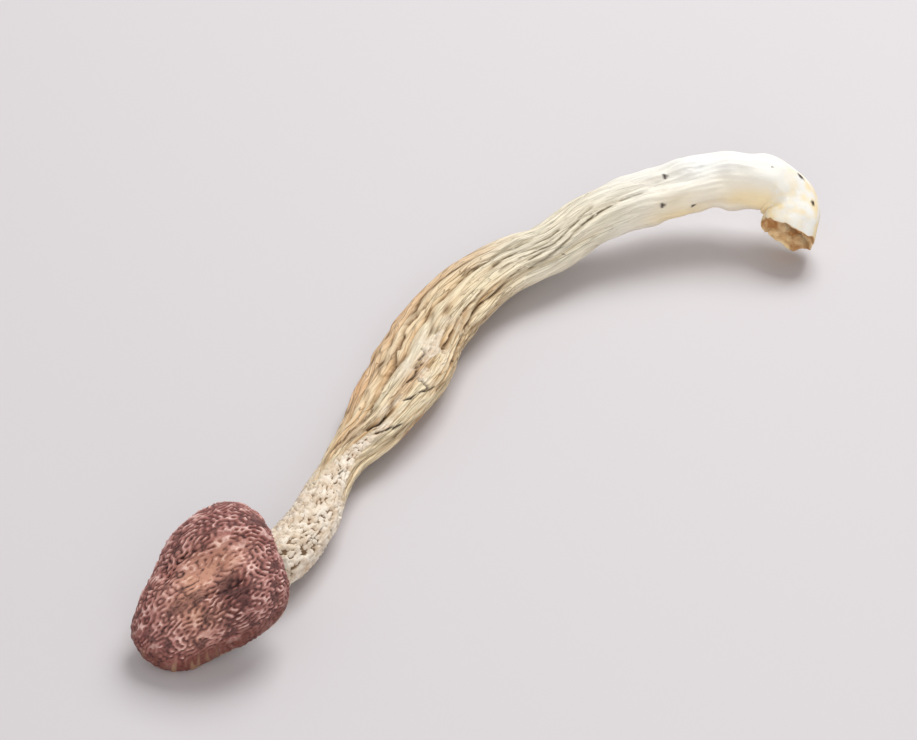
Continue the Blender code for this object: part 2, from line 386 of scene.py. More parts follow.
class Effects:
    """Builds the shared node groups, each of them once."""

    def __init__(self) -> None:
        """Build every group."""
        self.groups = {}
        self.valleys()
        self.mottle()
        self.specks()
        self.grain()
        self.threads()

    def start(
        self, effect: Effect, result: str, result_kind: str, **sockets: str
    ) -> tuple[NodeBoard, dict, Socket]:
        """Start a group.

        Args:
            effect: Which effect it is.
            result: Name of its one output.
            result_kind: Kind of that output.
            sockets: Kind of each input, by name.

        Returns:
            The group's board, its inputs by name, and the socket that its result goes into.
        """
        group = bpy.data.node_groups.new(effect.value, "ShaderNodeTree")
        for name, kind in sockets.items():
            group.interface.new_socket(name=name, in_out="INPUT", socket_type="NodeSocket" + kind)
        kind = "NodeSocket" + result_kind
        group.interface.new_socket(name=result, in_out="OUTPUT", socket_type=kind)
        self.groups[effect] = group
        entry = group.nodes.new("NodeGroupInput")
        leave = group.nodes.new("NodeGroupOutput")
        return NodeBoard(group), {name: entry.outputs[name] for name in sockets}, leave.inputs[0]

    def valleys(self) -> None:
        """Build the effect that darkens a colour where the skin is low, as painted shade."""
        sockets = {"Colour": "Color", "Valley": "Color", "Height": "Float", "Reach": "Float"}
        board, inputs, leave = self.start(Effect.VALLEYS, "Colour", "Color", **sockets)
        low = board.sum_up("DIVIDE", inputs["Height"], inputs["Reach"])
        deep = board.sum_up("POWER", board.spread(low, 1.0, 0.0), 1.3)
        board.feed(leave, board.lay(inputs["Colour"], inputs["Valley"], deep))

    def mottle(self) -> None:
        """Build the effect that wanders between two colours."""
        sockets = {"Place": "Vector", "Scale": "Float", "Dark": "Color", "Light": "Color"}
        board, inputs, leave = self.start(Effect.MOTTLE, "Colour", "Color", **sockets)
        share = board.spread(board.noise(inputs["Place"], inputs["Scale"], 4.0, 0.4), 0.36, 0.64)
        board.feed(leave, board.lay(inputs["Dark"], inputs["Light"], share))

    def specks(self) -> None:
        """Build the effect that scatters small specks."""
        sockets = {"Place": "Vector", "Scale": "Float", "Size": "Float"}
        board, inputs, leave = self.start(Effect.SPECKS, "Mask", "Float", **sockets)
        cells = board.add("ShaderNodeTexVoronoi", {"Vector": inputs["Place"], "Scale": inputs["Scale"]})
        ragged = board.spread(board.noise(inputs["Place"], 2600.0, 2.0), 0.3, 0.7, (0.4, 1.5))
        size = board.sum_up("MULTIPLY", inputs["Size"], ragged)
        near = board.sum_up("SUBTRACT", size, cells.outputs["Distance"])
        board.feed(leave, board.spread(near, 0.0, 0.05))

    def grain(self) -> None:
        """Build the effect that gives a skin its finest unevenness, as a height."""
        sockets = {"Place": "Vector", "Scale": "Float", "Pits": "Float"}
        board, inputs, leave = self.start(Effect.GRAIN, "Height", "Float", **sockets)
        cells = board.add("ShaderNodeTexVoronoi", {"Vector": inputs["Place"], "Scale": inputs["Scale"]})
        pits = board.sum_up("MULTIPLY", cells.outputs["Distance"], inputs["Pits"])
        rough = board.noise(inputs["Place"], inputs["Scale"], 5.0)
        board.feed(leave, board.sum_up("ADD", rough, pits))

    def threads(self) -> None:
        """Build the effect that draws thin wandering grooves, as a height of 0 in them."""
        sockets = {"Place": "Vector", "Scale": "Float", "Width": "Float"}
        board, inputs, leave = self.start(Effect.THREADS, "Height", "Float", **sockets)
        wander = board.noise(inputs["Place"], inputs["Scale"], 1.0)
        away = board.sum_up("ABSOLUTE", board.sum_up("SUBTRACT", wander, 0.5))
        board.feed(leave, board.spread(board.sum_up("DIVIDE", away, inputs["Width"]), 0.15, 1.0))


def new_board(piece: bpy.types.Object, name: str, groups: dict) -> NodeBoard:
    """Give a piece a new material.

    Args:
        piece: The piece.
        name: Name of the material.
        groups: The shared effects.

    Returns:
        The material's board.
    """
    material = bpy.data.materials.new(name)
    material.use_nodes = True
    piece.data.materials.append(material)
    return NodeBoard(material.node_tree, groups)


@dataclass(frozen=True)
class CapFinish:
    """Dried brown skin of the cap: pinkish ridges with painted highlights on their crests, over maroon
    valleys deepened with painted shade, and a tan middle.
    """

    board: NodeBoard
    valley: Colour = (0.04, 0.009, 0.009, 1.0)
    flank: Colour = (0.32, 0.098, 0.084, 1.0)
    flank_light: Colour = (0.49, 0.215, 0.184, 1.0)
    crest_with_highlight: Colour = (0.93, 0.64, 0.575, 1.0)
    middle_flank: Colour = (0.66, 0.33, 0.22, 1.0)
    middle_crest_with_highlight: Colour = (0.92, 0.60, 0.44, 1.0)
    margin: Colour = (0.155, 0.038, 0.024, 1.0)
    rim: Colour = (0.54, 0.35, 0.21, 1.0)
    flesh: Colour = (0.30, 0.15, 0.07, 1.0)
    mottle_scale: float = 260.0
    crest_scale: float = 1300.0
    grain_scale: float = 3200.0
    bump: tuple = (0.00012, 0.8)

    def paint(self) -> None:
        """Paint the skin by its height and its marks."""
        board = self.board
        place = board.place()
        ridge = board.mark("ridge")
        middle = board.mark("middle")
        flank = board.mottle(place, self.mottle_scale, self.flank, self.flank_light)
        flank = board.lay(flank, self.middle_flank, middle)
        crest_with_highlight = board.lay(self.crest_with_highlight, self.middle_crest_with_highlight, middle)
        # Crests: paler real ridge tops with a painted highlight, broken into strokes by noise.
        uneven = board.spread(board.noise(place, self.crest_scale), 0.30, 0.70, (0.25, 1.0))
        high = board.sum_up("MULTIPLY", board.spread(ridge, 0.60, 0.95), uneven)
        colour = board.lay(board.lay(flank, crest_with_highlight, high), self.margin, board.mark("margin"))
        # Painted shade in the wrinkles' valleys, over their darker real colour.
        colour = board.valleys(colour, self.valley, ridge, board.mark("reach"))
        colour = board.lay(colour, self.rim, board.mark("rim"))
        colour = board.lay(colour, self.flesh, board.mark("under"))
        grain = board.effect(Effect.GRAIN, Place=place, Scale=self.grain_scale, Pits=0.4)
        board.shade(colour, board.spread(ridge, 0.2, 0.9, (0.72, 0.50)), grain, self.bump)


@dataclass(frozen=True)
class GillFinish:
    """Dry tan-brown gills, with painted shade deep between them."""

    board: NodeBoard
    deep: Colour = (0.085, 0.032, 0.016, 1.0)
    dark: Colour = (0.23, 0.105, 0.05, 1.0)
    light: Colour = (0.40, 0.225, 0.115, 1.0)
    edge: Colour = (0.50, 0.33, 0.19, 1.0)
    mottle_scale: float = 420.0
    grain_scale: float = 2600.0
    bump: tuple = (0.0001, 0.7)

    def paint(self) -> None:
        """Paint the gills by how far down their blades they are."""
        board = self.board
        place = board.place()
        drop = board.mark("drop")
        colour = board.mottle(place, self.mottle_scale, self.dark, self.light)
        colour = board.lay(colour, self.edge, board.spread(drop, 0.75, 1.0, (0.0, 0.7)))
        # Painted shade toward the blades' roots, deep between the gills.
        colour = board.valleys(colour, self.deep, drop, 0.7)
        grain = board.effect(Effect.GRAIN, Place=place, Scale=self.grain_scale, Pits=0.3)
        board.shade(colour, board.spread(drop, 0.0, 1.0, (0.85, 0.65)), grain, self.bump)


@dataclass(frozen=True)
class StemFinish:
    """Dry fibrous stem: cream ridges, tan furrows deepened with painted shade, crumbly near the cap and
    off-white at the foot, with painted shade on the foot's underside.
    """

    board: NodeBoard
    cream: Colour = (0.92, 0.79, 0.545, 1.0)
    tan: Colour = (0.70, 0.455, 0.225, 1.0)
    furrow: Colour = (0.20, 0.112, 0.045, 1.0)
    pale_furrow: Colour = (0.33, 0.285, 0.20, 1.0)
    crack: Colour = (0.04, 0.022, 0.013, 1.0)
    side: Colour = (0.64, 0.34, 0.14, 1.0)
    side_light: Colour = (0.88, 0.61, 0.37, 1.0)
    crumb: Colour = (0.97, 0.875, 0.74, 1.0)
    crumb_dark: Colour = (0.76, 0.60, 0.44, 1.0)
    pit: Colour = (0.23, 0.14, 0.075, 1.0)
    pale: Colour = (0.96, 0.89, 0.715, 1.0)
    foot: Colour = (0.93, 0.92, 0.875, 1.0)
    foot_dark: Colour = (0.90, 0.87, 0.79, 1.0)
    foot_stain_and_shade: Colour = (0.95, 0.79, 0.50, 1.0)
    cut: Colour = (0.96, 0.74, 0.42, 1.0)
    cut_dark: Colour = (0.45, 0.205, 0.06, 1.0)
    speck: Colour = (0.035, 0.02, 0.014, 1.0)
    crumb_scale: float = 620.0
    foot_scale: float = 150.0
    cut_scale: float = 480.0
    speck_scale: float = 210.0
    grain_scale: float = 1500.0
    bump: tuple = (0.00016, 0.8)
    thread_sizes: tuple = ((0.9, 0.012), (1.7, 0.016), (3.1, 0.024))

    def paint(self) -> None:
        """Paint the fibrous part, and then the crumbs, the foot, the cut, the specks and the cracks."""
        board = self.board
        place = board.place()
        ridge = board.mark("ridge")
        crumbs = board.mottle(place, self.crumb_scale, self.crumb_dark, self.crumb)
        # Pits between the crumbs: their real brown colour, deepened with painted shade.
        crumbs = board.valleys(crumbs, self.pit, ridge, 0.42)
        colour = board.lay(self.fibrous(), crumbs, board.mark("crumbly"))
        foot = board.mottle(place, self.foot_scale, self.foot_dark, self.foot)
        # The foot's underside gets painted shade here, and beside the cut real tan mottling.
        foot = board.lay(foot, self.foot_stain_and_shade, board.mark("stain_and_shade"))
        colour = board.lay(colour, foot, board.mark("foot"))
        cut = board.mottle(place, self.cut_scale, self.cut_dark, self.cut)
        colour = board.lay(colour, cut, board.mark("cut"))
        specks = board.effect(Effect.SPECKS, Place=place, Scale=self.speck_scale, Size=0.06)
        colour = board.lay(colour, self.speck, board.sum_up("MULTIPLY", specks, 0.75))
        colour = board.lay(colour, self.speck, board.mark("speck"))
        colour = board.lay(colour, self.crack, board.mark("crack"))
        board.shade(colour, board.spread(ridge, 0.0, 1.0, (0.88, 0.66)), self.relief(), self.bump)

    def fibrous(self) -> Socket:
        """Colour the long furrowed part.

        Returns:
            The colour.
        """
        board = self.board
        fibre = board.direction("fibre")
        ridge = board.mark("ridge")
        pale = board.mark("pale")
        colour = board.mottle(fibre, 1.0, self.tan, self.cream)
        colour = board.lay(colour, self.cream, board.spread(ridge, 0.45, 0.95, (0.0, 0.75)))
        colour = board.lay(colour, self.pale, pale)
        # Tan flanks, with painted shade on the upper-left fold.
        colour = board.lay(colour, board.mottle(fibre, 1.6, self.side, self.side_light), board.mark("side"))
        furrow = board.lay(self.furrow, self.pale_furrow, pale)
        colour = board.lay(colour, furrow, board.mark("groove"))
        broken = board.spread(board.noise(fibre, 0.8, 2.0), 0.40, 0.60, (0.20, 0.80))
        broken = board.sum_up("MULTIPLY", broken, board.spread(pale, 0.0, 0.85, (1.0, 0.6)))
        for scale, width in self.thread_sizes:
            thread = board.effect(Effect.THREADS, Place=fibre, Scale=scale, Width=width)
            groove = board.sum_up("MULTIPLY", board.sum_up("SUBTRACT", 1.0, thread), broken)
            colour = board.lay(colour, furrow, groove)
        # Painted shade in the furrows, over their darker real colour; it reaches less far on the pale part.
        return board.valleys(colour, furrow, ridge, board.spread(pale, 0.0, 0.85, (0.50, 0.30)))

    def relief(self) -> Socket:
        """Give the skin its finest relief: fibres that run along it, and crumbs.

        Returns:
            The height.
        """
        board = self.board
        fibre = board.direction("fibre")
        crumbly = board.mark("crumbly")
        threads = board.noise(fibre, 3.0, 4.0, 0.6)
        for scale, width in self.thread_sizes:
            groove = board.effect(Effect.THREADS, Place=fibre, Scale=scale, Width=2.0 * width)
            threads = board.sum_up("ADD", threads, board.sum_up("MULTIPLY", groove, 0.5))
        plain = board.spread(board.mark("foot"), 0.0, 1.0, (1.0, 0.12))
        whole = board.spread(crumbly, 0.0, 1.0, (1.0, 0.15))
        threads = board.sum_up("MULTIPLY", threads, board.sum_up("MULTIPLY", plain, whole))
        crumbs = board.effect(Effect.GRAIN, Place=board.place(), Scale=self.grain_scale, Pits=0.8)
        share = board.spread(crumbly, 0.0, 1.0, (0.25, 1.0))
        return board.sum_up("ADD", threads, board.sum_up("MULTIPLY", crumbs, share))


@dataclass
class Cap:
    """The cap: its skin over a smooth form that the CAD shares, and its underside.

    Args:
        centre: Middle of the rim plane.
        axis: Direction out of the top, square to the rim plane.
        right_hint: Direction near the rim plane's first axis.
        radius: Mean radius of the rim.
        waves: How far the outline leaves a circle, as waves of so many turns, a height and a peak.
        profile: Share of the reach, and height, from the middle of the top to the stem's seat.
        lip: Place of the profile at which the top ends.
    """

    centre: Vector = Vector((-55.6, -9.0, 6.05))
    axis: Vector = Vector((-0.48, -0.34, 0.81)).normalized()
    right_hint: Vector = Vector((0.69, -0.72, 0.0))
    radius: float = 9.5
    waves: tuple = ((2, 1.60, 103.0), (3, 0.95, -67.0), (4, 0.30, -122.0), (5, 0.25, 0.0))
    seat_height: float = 3.0
    profile: tuple = (
        (0.00, 7.2),
        (0.19, 7.4),
        (0.38, 7.3),
        (0.56, 6.8),
        (0.72, 5.8),
        (0.86, 4.3),
        (0.96, 2.5),
        (1.00, 0.8),
        (0.96, -0.3),
        (0.87, -0.1),
        (0.78, 1.2),
        (0.58, 2.5),
        (0.40, 3.0),
        (0.00, 3.0),
    )
    shoulder: float = 2.0
    shoulder_end: float = 5.0
    lip: float = 8.0
    dish_place: tuple = (-0.5, 0.7)
    dish_reach: tuple = (5.0, 2.7)
    dish_colour_reach: tuple = (5.4, 2.9)
    dish_depth: float = 1.5
    dish_tilt: float = 33.0
    sag_height: float = 0.5
    sag_spacing: float = 6.0
    creases: tuple = (
        Stroke(((-0.2, -2.3), (3.5, -0.8)), 0.7, 0.9),
        Stroke(((-5.6, 0.3), (-2.5, 3.5)), 0.7, 0.9),
        Stroke(((3.6, 3.8), (6.2, 0.0)), 0.4, 1.0),
        Stroke(((-6.4, -5.6), (-3.4, -2.6)), 0.4, 1.0),
    )
    sharp_creases: tuple = (
        Stroke(((-0.6, -2.5), (1.4, -2.0), (3.7, -0.7)), 0.22, 0.20),
        Stroke(((-5.8, 0.0), (-4.2, 2.2), (-2.3, 3.7)), 0.22, 0.22),
        Stroke(((-6.7, 0.9), (-5.0, 2.6)), 0.20, 0.20),
        Stroke(((2.2, -3.0), (4.6, -2.2)), 0.16, 0.20),
    )
    sheet_side: float = 34.0
    sheet_cells: int = 600
    wrinkle_spacing: float = 0.51
    wrinkle_stretch: float = 1.9
    wrinkle_height: float = 0.36
    crinkle_spacing: float = 0.42
    crinkle_share: float = 0.20
    cuts: int = 127
    top_weight: float = 1.9

    def outline(self, turn: Array) -> Array:
        """Give the reach of the rim, in the rim plane.

        Args:
            turn: Directions in that plane.

        Returns:
            The reach in each of them.
        """
        reach = np.full_like(turn, self.radius)
        for count, height, peak in self.waves:
            reach += height * np.cos(count * turn - math.radians(peak))
        return reach

    def read_profile(self, place: Array) -> Array:
        """Read the profile's share of the reach and its height."""
        return read_curve(np.array(self.profile), place)

    def skin(self, turn: Array, place: Array) -> Array:
        """Give points of the cap's smooth form, in its rim plane's frame.

        Args:
            turn: Direction of each point.
            place: How far down the profile each point is.

        Returns:
            One row for each point.
        """
        read = self.read_profile(place)
        share = np.maximum(read[:, 0], 0.0)
        reach = self.radius + (self.outline(turn) - self.radius) * share**1.5
        return np.stack([np.cos(turn) * share * reach, np.sin(turn) * share * reach, read[:, 1]], axis=1)

    def carry(self, points: Array) -> Array:
        """Carry points from the rim plane's frame to where the cap lies."""
        matrix = np.array(frame_at(self.centre, self.axis, self.right_hint))
        return points @ matrix[:3, :3].T + matrix[:3, 3]

    def arc(self, place: Array) -> Array:
        """Give how far the skin runs from the middle of the top.

        Args:
            place: Places of the profile.

        Returns:
            The length to each place.
        """
        places = np.linspace(0.0, len(self.profile) - 1.0, 300)
        steps = np.diff(self.read_profile(places) * (self.radius, 1.0), axis=0)
        return np.interp(place, places, running_sum(np.linalg.norm(steps, axis=1)))

    def spread_places(self, polar: Array) -> Array:
        """Share the ball's points out over the profile, closer together on the top.

        Args:
            polar: Angle of each point from the ball's top.

        Returns:
            How far down the profile each point goes.
        """
        places = np.linspace(0.0, len(self.profile) - 1.0, 600)
        share = np.maximum(self.read_profile(places)[:, 0], 0.02)
        weight = np.where(places < self.lip, self.top_weight, 1.0)
        area = running_sum((share * weight)[1:] * np.diff(self.arc(places)))
        return np.interp(0.5 - 0.5 * np.cos(polar), area / area[-1], places)

    def ball(self) -> bmesh.types.BMesh:
        """Make a ball out of a finely cut cube, so that it has no poles.

        Returns:
            The ball.
        """
        shape = bmesh.new()
        bmesh.ops.create_cube(shape, size=2.0)
        bmesh.ops.subdivide_edges(shape, edges=shape.edges, cuts=self.cuts, use_grid_fill=True)
        for point in shape.verts:
            place = [math.tan(0.25 * math.pi * value) for value in point.co]
            point.co = Vector(place).normalized()
        return shape

    def beside_dish(self, flat: Array) -> tuple[Array, Array]:
        """Measure places from the dish's middle.

        Args:
            flat: Places on the top, seen from above it.

        Returns:
            How far along the dish each one is, and how far across.
        """
        spots = flat - self.dish_place
        tilt = math.radians(self.dish_tilt)
        return spots @ (math.cos(tilt), math.sin(tilt)), spots @ (-math.sin(tilt), math.cos(tilt))

    def dish(self, points: Array, reach: tuple) -> Array:
        """Give 1 in the dish's middle, and nothing far beyond its long and short reach."""
        along, across = self.beside_dish(points[:, :2])
        return bell(np.hypot(along / reach[0], across / reach[1]), 1.0)

    def ridges(self, turn: Array, place: Array, points: Array) -> Array:
        """Give the height of the fine wrinkles, drawn out along the dish, crinkled like dry tissue.

        Args:
            turn: Direction of each point.
            place: How far down the profile it is.
            points: Points of the smooth form.

        Returns:
            Heights from 0 in the valleys to 1 on the ridges.
        """
        places = np.linspace(0.0, len(self.profile) - 1.0, 300)
        share = np.interp(place, places, np.maximum(self.read_profile(places)[:, 0], 0.0))
        flat = self.arc(place) * np.linalg.norm(points[:, :2], axis=1)
        flat /= np.maximum(share * self.radius, 0.01)
        along, aside = self.beside_dish(np.stack([np.cos(turn) * flat, np.sin(turn) * flat], axis=1))
        wander = 0.12 * noise_at(points, 0.8, 27.0)
        along += 0.5 * self.sheet_side - wander
        aside += 0.5 * self.sheet_side + wander
        size = (self.sheet_side, self.sheet_side, self.sheet_cells, self.sheet_cells)
        sheet = WrinkleSheet(*size, self.wrinkle_spacing, self.wrinkle_stretch, lean=0.1, roughness=0.3)
        drawn_out = np.stack([aside, along / self.wrinkle_stretch, np.zeros_like(along)], axis=1)
        crinkle = 1.0 - np.clip(3.2 * np.abs(noise_at(drawn_out, self.crinkle_spacing, 33.0)), 0.0, 1.0)
        mixed = sheet.read(aside, along) * (1.0 - self.crinkle_share) + crinkle * self.crinkle_share
        strokes = 0.9 + 0.8 * noise_at(drawn_out, 0.85, 57.0)
        return np.clip(mixed * strokes + 0.10 * noise_at(points, 0.3, 39.0), 0.0, 1.0)

    def build(self) -> bpy.types.Object:
        """Build the cap's skin and flesh.

        Returns:
            The piece.
        """
        shape = self.ball()
        ball = shape_points(shape)
        turn = np.arctan2(ball[:, 1], ball[:, 0])
        place = self.spread_places(np.arccos(np.clip(ball[:, 2], -1.0, 1.0)))
        points = self.skin(turn, place)
        x, y = points[:, 0], points[:, 1]
        degrees = np.degrees(turn)
        ridge = self.ridges(turn, place, points)
        low_side = 1.8 * bell(turn_gap(degrees, -85.0), 75.0)
        margin = smooth_step(6.1, 7.9, place + low_side + 0.7 * noise_at(points, 1.6, 4.0))
        striae = noise_at(np.stack([turn * 19.0, place * 0.35, turn * 0.0], axis=1), 1.0, 9.0)
        top = smooth_step(self.lip, self.lip - 0.6, place)
        middle = self.dish(points, self.dish_colour_reach) * top
        tan = 0.6 * bell(np.hypot(x + 1.5, y + 5.2), 3.2) * top
        # Painted shade beside the crease at the dish's lower right, and further down the lower side.
        shade = bell(np.hypot(x - 2.2, y + 2.8), 2.5) * top
        middle *= 1.0 - 0.8 * shade
        shade = np.maximum(shade, bell(np.hypot(x - 4.0, y + 6.6), 3.6) * top)
        streaks = smooth_step(0.05, 0.30, striae) * bell(turn_gap(degrees, -112.0), 26.0)
        streaks *= smooth_step(5.3, 6.4, place) * top
        strength = (1.0 - 0.88 * margin) * (1.0 - 0.62 * middle)
        uneven = y + 0.3 * noise_at(points, 0.8, 45.0)
        folds = np.zeros_like(place)
        for crease in self.sharp_creases:
            folds = np.maximum(folds, stroke_mark(x, uneven, crease) * crease.depth)
        relief = self.relief(points) + self.wrinkle_height * strength * (ridge - 0.55)
        relief += margin * 0.16 * striae - folds + 0.10 * noise_at(points, 1.4, 2.0)
        points += self.outward(turn, place) * (top * relief)[:, None]
        # The ridge mark sets the painted highlights on the crests and the painted shade in the valleys.
        shown = np.clip(ridge + 0.2 * margin * striae - 0.9 * folds, 0.0, 1.0)
        marks = {
            "ridge": shown * top + (1.0 - top),
            # The reach of the painted valley shade widens under that painted shade, and the margin mark
            # carries it too.
            "reach": 0.67 - 0.46 * margin - 0.46 * middle + 0.16 * shade,
            "middle": np.clip((middle + tan) * (0.85 + 0.5 * noise_at(points, 2.0, 6.0)), 0.0, 1.0),
            "margin": np.maximum(margin * top * np.clip(0.9 + 0.4 * striae, 0.0, 1.0), 0.35 * shade),
            "rim": np.maximum(bell(place - self.lip + 0.2, 0.28) * 0.7, 0.45 * streaks),
            "under": smooth_step(self.lip + 0.1, self.lip + 0.7, place),
        }
        return finish_shape("cap_skin", shape, self.carry(points), marks)

    def relief(self, points: Array) -> Array:
        """Give how far the top stands out from the smooth form, without its fine wrinkles.

        Args:
            points: Points of the smooth form.

        Returns:
            One height for each point.
        """
        relief = self.sag_height * noise_at(points, self.sag_spacing)
        relief -= self.dish_depth * self.dish(points, self.dish_reach)
        for crease in self.creases:
            relief -= crease.depth * stroke_mark(points[:, 0], points[:, 1], crease)
        return relief

    def outward(self, turn: Array, place: Array) -> Array:
        """Give the direction out of the smooth form, straight up near the middle of the top.

        Args:
            turn: Direction of each point.
            place: How far down the profile each point is.

        Returns:
            One unit row for each point.
        """
        step = 0.05
        across = self.skin(turn + step, place) - self.skin(turn - step, place)
        down = self.skin(turn, place + step) - self.skin(turn, np.maximum(place - step, 0.0))
        square = np.cross(down, across)
        square /= np.maximum(np.linalg.norm(square, axis=1), 1e-9)[:, None]
        share = smooth_step(self.shoulder, self.shoulder_end, place)[:, None]
        return np.array((0.0, 0.0, 1.0)) * (1.0 - share) + square * share

    def dress(self, piece: bpy.types.Object, groups: dict) -> None:
        """Give the cap its finish and its place in the frame.

        Args:
            piece: The cap's skin.
            groups: The shared effects.
        """
        CapFinish(new_board(piece, "cap skin", groups)).paint()
        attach(piece, BODY)
        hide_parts("cap")


@dataclass
class Gills:
    """The thin gills under the cap, long ones with shorter ones between them.

    Args:
        cap: The cap that they hang from.
        count: Number of gills of every length.
        height: How far the middle of a gill hangs down.
        thickness: Thickness of a gill.
        root: How deep a gill is sunk in the cap's flesh.
        outer_place: Where on the cap's profile they start.
        inner_places: Where they end, in turn.
        segments: Cuts along a gill.
        layers: Cuts down it.
    """

    cap: Cap
    count: int = 112
    height: float = 0.72
    thickness: float = 0.2
    root: float = 0.3
    outer_place: float = 9.15
    inner_places: tuple = (11.9, 10.3, 11.1, 10.3)
    segments: int = 16
    layers: int = 3

    def build(self) -> bpy.types.Object:
        """Build every gill as a closed blade, all in one mesh.

        Returns:
            The piece.
        """
        shape = bmesh.new()
        drop_layer = shape.verts.layers.float.new("drop")
        for number in range(self.count):
            made = bmesh.ops.create_grid(
                shape, x_segments=self.segments, y_segments=self.layers, size=0.5
            )["verts"]
            self.lay_blade(made, number, drop_layer)
            faces = list({face for point in made for face in point.link_faces})
            bmesh.ops.solidify(shape, geom=faces, thickness=self.thickness)
        marks = {"drop": np.array([point[drop_layer] for point in shape.verts])}
        shape.verts.layers.float.remove(drop_layer)
        return finish_shape("gills", shape, self.cap.carry(shape_points(shape)), marks)

    def lay_blade(self, made: list, number: int, drop_layer: object) -> None:
        """Place one gill, a wavy sheet from the margin toward the stem.

        Args:
            made: The sheet's points, within half a unit of the origin.
            number: Which gill it is.
            drop_layer: Layer that keeps how far down its blade each point is.
        """
        inner = self.inner_places[number % len(self.inner_places)]
        flat = np.array([point.co[:] for point in made])
        part = flat[:, 0] + 0.5
        drop = flat[:, 1] + 0.5
        place = self.outer_place + (inner - self.outer_place) * part
        wander = np.stack([place * 0.8, np.full_like(place, number * 3.7), drop * 0.5], axis=1)
        turn = 2.0 * math.pi * (number + 0.35 * noise_at(wander, 1.0)) / self.count
        fade = smooth_step(0.0, 0.18, part) * smooth_step(1.0, 0.75, part)
        hang = self.height * fade * (0.85 + 0.3 * noise_at(wander, 1.0, 20.0))
        points = self.cap.skin(turn, place)
        points[:, 2] += self.root * (1.0 - drop) - hang * drop
        for point, spot, low in zip(made, points.tolist(), drop.tolist()):
            point.co = spot
            point[drop_layer] = low

    def dress(self, piece: bpy.types.Object, groups: dict) -> None:
        """Give the gills their finish and their place in the frame.

        Args:
            piece: The gills.
            groups: The shared effects.
        """
        GillFinish(new_board(piece, "gill flesh", groups)).paint()
        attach(piece, BODY)


class Station(NamedTuple):
    """A cross-section of the stem: where its middle is, and its size, flatness and turn."""

    x: float
    y: float
    z: float
    width: float
    thickness: float
    twist: float


class Furrow(NamedTuple):
    """A valley along the stem: its angle, its depth, and where along the stem it runs."""

    turn: float
    depth: float
    start: float
    end: float


class Rings(NamedTuple):
    """Rings of the stem: their middles, their own directions, and their sizes."""

    middle: Array
    ahead: Array
    side: Array
    above: Array
    width: Array
    thickness: Array
    twist: Array


class Spots(NamedTuple):
    """Places on the stem's skin: share of its length, angle, and place on an even round stem."""

    share: Array
    degrees: Array
    round_place: Array
    length: float

    def facing(self, centre: float, width: float) -> Array:
        """Give 1 at an angle, and fall off to nothing beyond about twice the width on both sides."""
        return bell(turn_gap(self.degrees, centre), width)

    def beside(self, centre: float, width: float) -> Array:
        """Give 1 at a share of the length, and fall off to nothing beyond about twice the width."""
        return bell(self.share - centre, width)

    def rise(self, low: float, high: float) -> Array:
        """Rise smoothly from 0 to 1, or fall, between two shares of the length."""
        return smooth_step(low, high, self.share)

    def noise(self, squeeze: float, spacing: float, seed: float) -> Array:
        """Read noise on the round stem, whose length is squeezed by a factor."""
        return noise_at(self.round_place * (1.0, 1.0, squeeze), spacing, seed)


